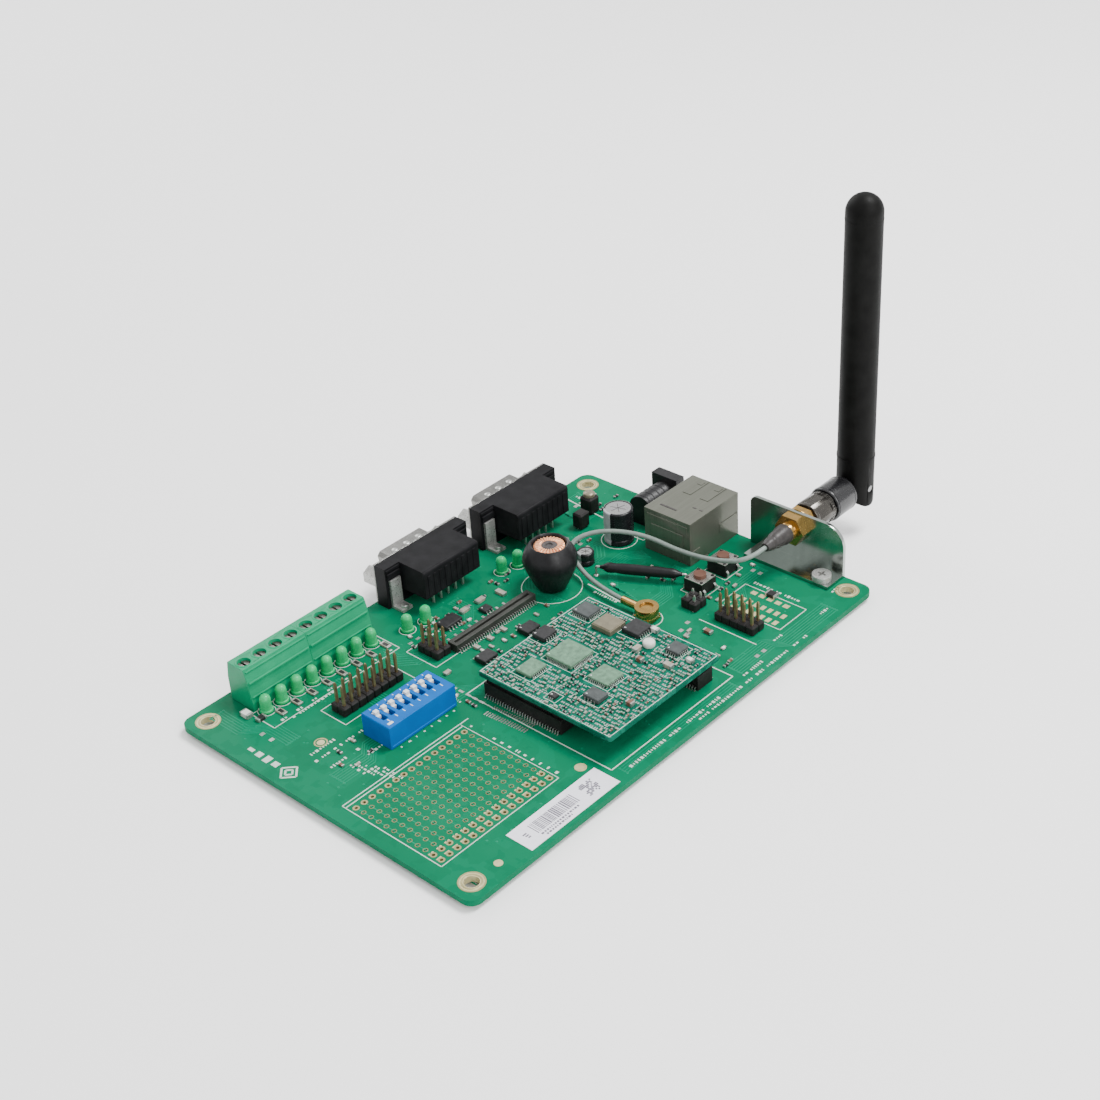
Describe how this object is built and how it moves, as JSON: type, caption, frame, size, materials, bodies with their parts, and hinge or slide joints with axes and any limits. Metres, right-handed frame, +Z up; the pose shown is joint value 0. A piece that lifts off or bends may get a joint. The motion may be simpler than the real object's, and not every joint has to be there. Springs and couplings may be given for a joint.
{
  "type": "microcontroller dev board",
  "caption": "Rectangular green controller board with screw terminals, slide switches, pin headers, serial ports, network jack, plug-in module and a hinged rod antenna",
  "frame": {"origin": "centre of the four mounting holes, on the underside of the board", "axes": "+X along the short side away from the serial ports, +Y along the long side towards the network jack and antenna, +Z up from the board"},
  "size_m": [0.1068, 0.1844, 0.099],
  "materials": {
    "pcb": "green solder mask over glass fibre, slightly glossy",
    "module_pcb": "green solder mask, densely populated",
    "black_plastic": "moulded black nylon",
    "gold_pin": "gold flashed square pins",
    "terminal_green": "pale green moulded polyamide",
    "brass_clamp": "nickel flashed brass clamp boxes",
    "terminal_screw": "zinc plated slotted screws",
    "lamp_lens": "milky pale green epoxy",
    "chip_body": "ceramic chip parts with tinned ends",
    "upright_black": "black moulded blocks",
    "switch_blue": "blue moulded housing",
    "knob_white": "white slide knobs",
    "port_black": "black glass filled plastic",
    "tin_shell": "tin plated steel shell",
    "gold_contact": "gold flashed contacts",
    "zinc_hardware": "zinc plated clips and screws",
    "jack_shield": "nickel plated folded shield",
    "jack_insert": "black plastic insert",
    "power_black": "black moulded jack",
    "tin_lead": "tinned leads and joints",
    "key_button": "brown plunger",
    "key_black": "black key base",
    "key_metal": "stamped top plate",
    "shrink_black": "black heat shrink sleeve",
    "copper_coil": "enamelled copper winding and ferrite core",
    "capacitor_can": "sleeved aluminium cans",
    "axial_shrink": "black heat shrink sleeve",
    "strip_black": "low black connector",
    "module_black": "black board connectors",
    "module_chip": "moulded chip packages and a metal can",
    "sticker": "white printed sticker",
    "bracket_steel": "bright folded steel sheet",
    "gold_socket": "gold plated coaxial fittings",
    "crimp_sleeve": "dark shrink sleeve over a crimp",
    "nut_nickel": "nickel plated nut",
    "antenna_base_black": "semi gloss black plastic",
    "antenna_rubber": "satin black flexible sleeve",
    "pin_steel": "steel pin",
    "coax_grey": "light grey cable jacket"
  },
  "bodies": {
    "board": {"main_board": "pcb", "header_bases": "black_plastic", "header_pins": "gold_pin", "terminal_housing_a": "terminal_green", "terminal_housing_b": "terminal_green", "terminal_clamps": "brass_clamp", "lamp_lenses": "lamp_lens", "surface_parts": "chip_body", "upright_blocks": "upright_black", "switch_housing": "switch_blue", "serial_housings": "port_black", "serial_shells": "tin_shell", "serial_contacts": "gold_contact", "serial_hardware": "zinc_hardware", "network_shield": "jack_shield", "network_insert": "jack_insert", "network_contacts": "gold_contact", "power_jack": "power_black", "power_jack_metal": "tin_lead", "key_bodies": "key_black", "key_plates": "key_metal", "choke_sleeve": "shrink_black", "choke_winding": "copper_coil", "capacitors": "capacitor_can", "axial_sleeve": "axial_shrink", "solder_leads": "tin_lead", "strip_connector": "strip_black", "module_board": "module_pcb", "module_connectors": "module_black", "module_chips": "module_chip", "sticker_label": "sticker", "antenna_bracket": "bracket_steel", "bracket_screw": "zinc_hardware", "radio_socket": "gold_socket", "cable_crimp": "crimp_sleeve", "radio_socket_nuts": "gold_socket", "coax_cable": "coax_grey", "coax_plug": "gold_socket"},
    "antenna_base": {"antenna_base": "antenna_base_black"},
    "antenna_whip": {"antenna_whip": "antenna_rubber", "hinge_pin": "pin_steel"},
    "coupling_nut": {"coupling_nut": "nut_nickel"},
    "knob_1": {"switch_knob_1": "knob_white"},
    "knob_2": {"switch_knob_2": "knob_white"},
    "knob_3": {"switch_knob_3": "knob_white"},
    "knob_4": {"switch_knob_4": "knob_white"},
    "knob_5": {"switch_knob_5": "knob_white"},
    "knob_6": {"switch_knob_6": "knob_white"},
    "knob_7": {"switch_knob_7": "knob_white"},
    "knob_8": {"switch_knob_8": "knob_white"},
    "key_1": {"key_button_1": "key_button"},
    "key_2": {"key_button_2": "key_button"},
    "screw_1": {"terminal_screw_1": "terminal_screw"},
    "screw_2": {"terminal_screw_2": "terminal_screw"},
    "screw_3": {"terminal_screw_3": "terminal_screw"},
    "screw_4": {"terminal_screw_4": "terminal_screw"},
    "screw_5": {"terminal_screw_5": "terminal_screw"},
    "screw_6": {"terminal_screw_6": "terminal_screw"},
    "screw_7": {"terminal_screw_7": "terminal_screw"},
    "screw_8": {"terminal_screw_8": "terminal_screw"}
  },
  "joints": [
    {"name": "antenna_swivel", "type": "hinge", "parent": "board", "child": "antenna_base", "pos_m": [0.026, 0.0867, 0.0124], "axis": [0, 1, 0], "range_deg": [-90, 90]},
    {"name": "antenna_tilt", "type": "hinge", "parent": "antenna_base", "child": "antenna_whip", "pos_m": [0.026, 0.103, 0.0124], "axis": [-1, 0, 0], "range_deg": [0, 90]},
    {"name": "coupling_nut_turn", "type": "hinge", "parent": "board", "child": "coupling_nut", "pos_m": [0.026, 0.0838, 0.0124], "axis": [0, 1, 0], "continuous": true},
    {"name": "switch_1_slide", "type": "slide", "parent": "board", "child": "knob_1", "axis": [1, 0, 0], "range_m": [0, 0.0022]},
    {"name": "switch_2_slide", "type": "slide", "parent": "board", "child": "knob_2", "axis": [1, 0, 0], "range_m": [0, 0.0022]},
    {"name": "switch_3_slide", "type": "slide", "parent": "board", "child": "knob_3", "axis": [1, 0, 0], "range_m": [0, 0.0022]},
    {"name": "switch_4_slide", "type": "slide", "parent": "board", "child": "knob_4", "axis": [1, 0, 0], "range_m": [0, 0.0022]},
    {"name": "switch_5_slide", "type": "slide", "parent": "board", "child": "knob_5", "axis": [1, 0, 0], "range_m": [0, 0.0022]},
    {"name": "switch_6_slide", "type": "slide", "parent": "board", "child": "knob_6", "axis": [1, 0, 0], "range_m": [0, 0.0022]},
    {"name": "switch_7_slide", "type": "slide", "parent": "board", "child": "knob_7", "axis": [1, 0, 0], "range_m": [0, 0.0022]},
    {"name": "switch_8_slide", "type": "slide", "parent": "board", "child": "knob_8", "axis": [1, 0, 0], "range_m": [0, 0.0022]},
    {"name": "key_1_press", "type": "slide", "parent": "board", "child": "key_1", "axis": [0, 0, -1], "range_m": [0, 0.00025], "stiffness_N_per_m": 200, "springref_m": -0.001},
    {"name": "key_2_press", "type": "slide", "parent": "board", "child": "key_2", "axis": [0, 0, -1], "range_m": [0, 0.00025], "stiffness_N_per_m": 200, "springref_m": -0.001},
    {"name": "terminal_screw_1_turn", "type": "hinge", "parent": "board", "child": "screw_1", "pos_m": [-0.0442, -0.05876, 0.01], "axis": [0, 0, 1], "continuous": true},
    {"name": "terminal_screw_2_turn", "type": "hinge", "parent": "board", "child": "screw_2", "pos_m": [-0.0442, -0.05368, 0.01], "axis": [0, 0, 1], "continuous": true},
    {"name": "terminal_screw_3_turn", "type": "hinge", "parent": "board", "child": "screw_3", "pos_m": [-0.0442, -0.0486, 0.01], "axis": [0, 0, 1], "continuous": true},
    {"name": "terminal_screw_4_turn", "type": "hinge", "parent": "board", "child": "screw_4", "pos_m": [-0.0442, -0.04352, 0.01], "axis": [0, 0, 1], "continuous": true},
    {"name": "terminal_screw_5_turn", "type": "hinge", "parent": "board", "child": "screw_5", "pos_m": [-0.0442, -0.03844, 0.01], "axis": [0, 0, 1], "continuous": true},
    {"name": "terminal_screw_6_turn", "type": "hinge", "parent": "board", "child": "screw_6", "pos_m": [-0.0442, -0.03336, 0.01], "axis": [0, 0, 1], "continuous": true},
    {"name": "terminal_screw_7_turn", "type": "hinge", "parent": "board", "child": "screw_7", "pos_m": [-0.0442, -0.02828, 0.01], "axis": [0, 0, 1], "continuous": true},
    {"name": "terminal_screw_8_turn", "type": "hinge", "parent": "board", "child": "screw_8", "pos_m": [-0.0442, -0.0232, 0.01], "axis": [0, 0, 1], "continuous": true}
  ]
}
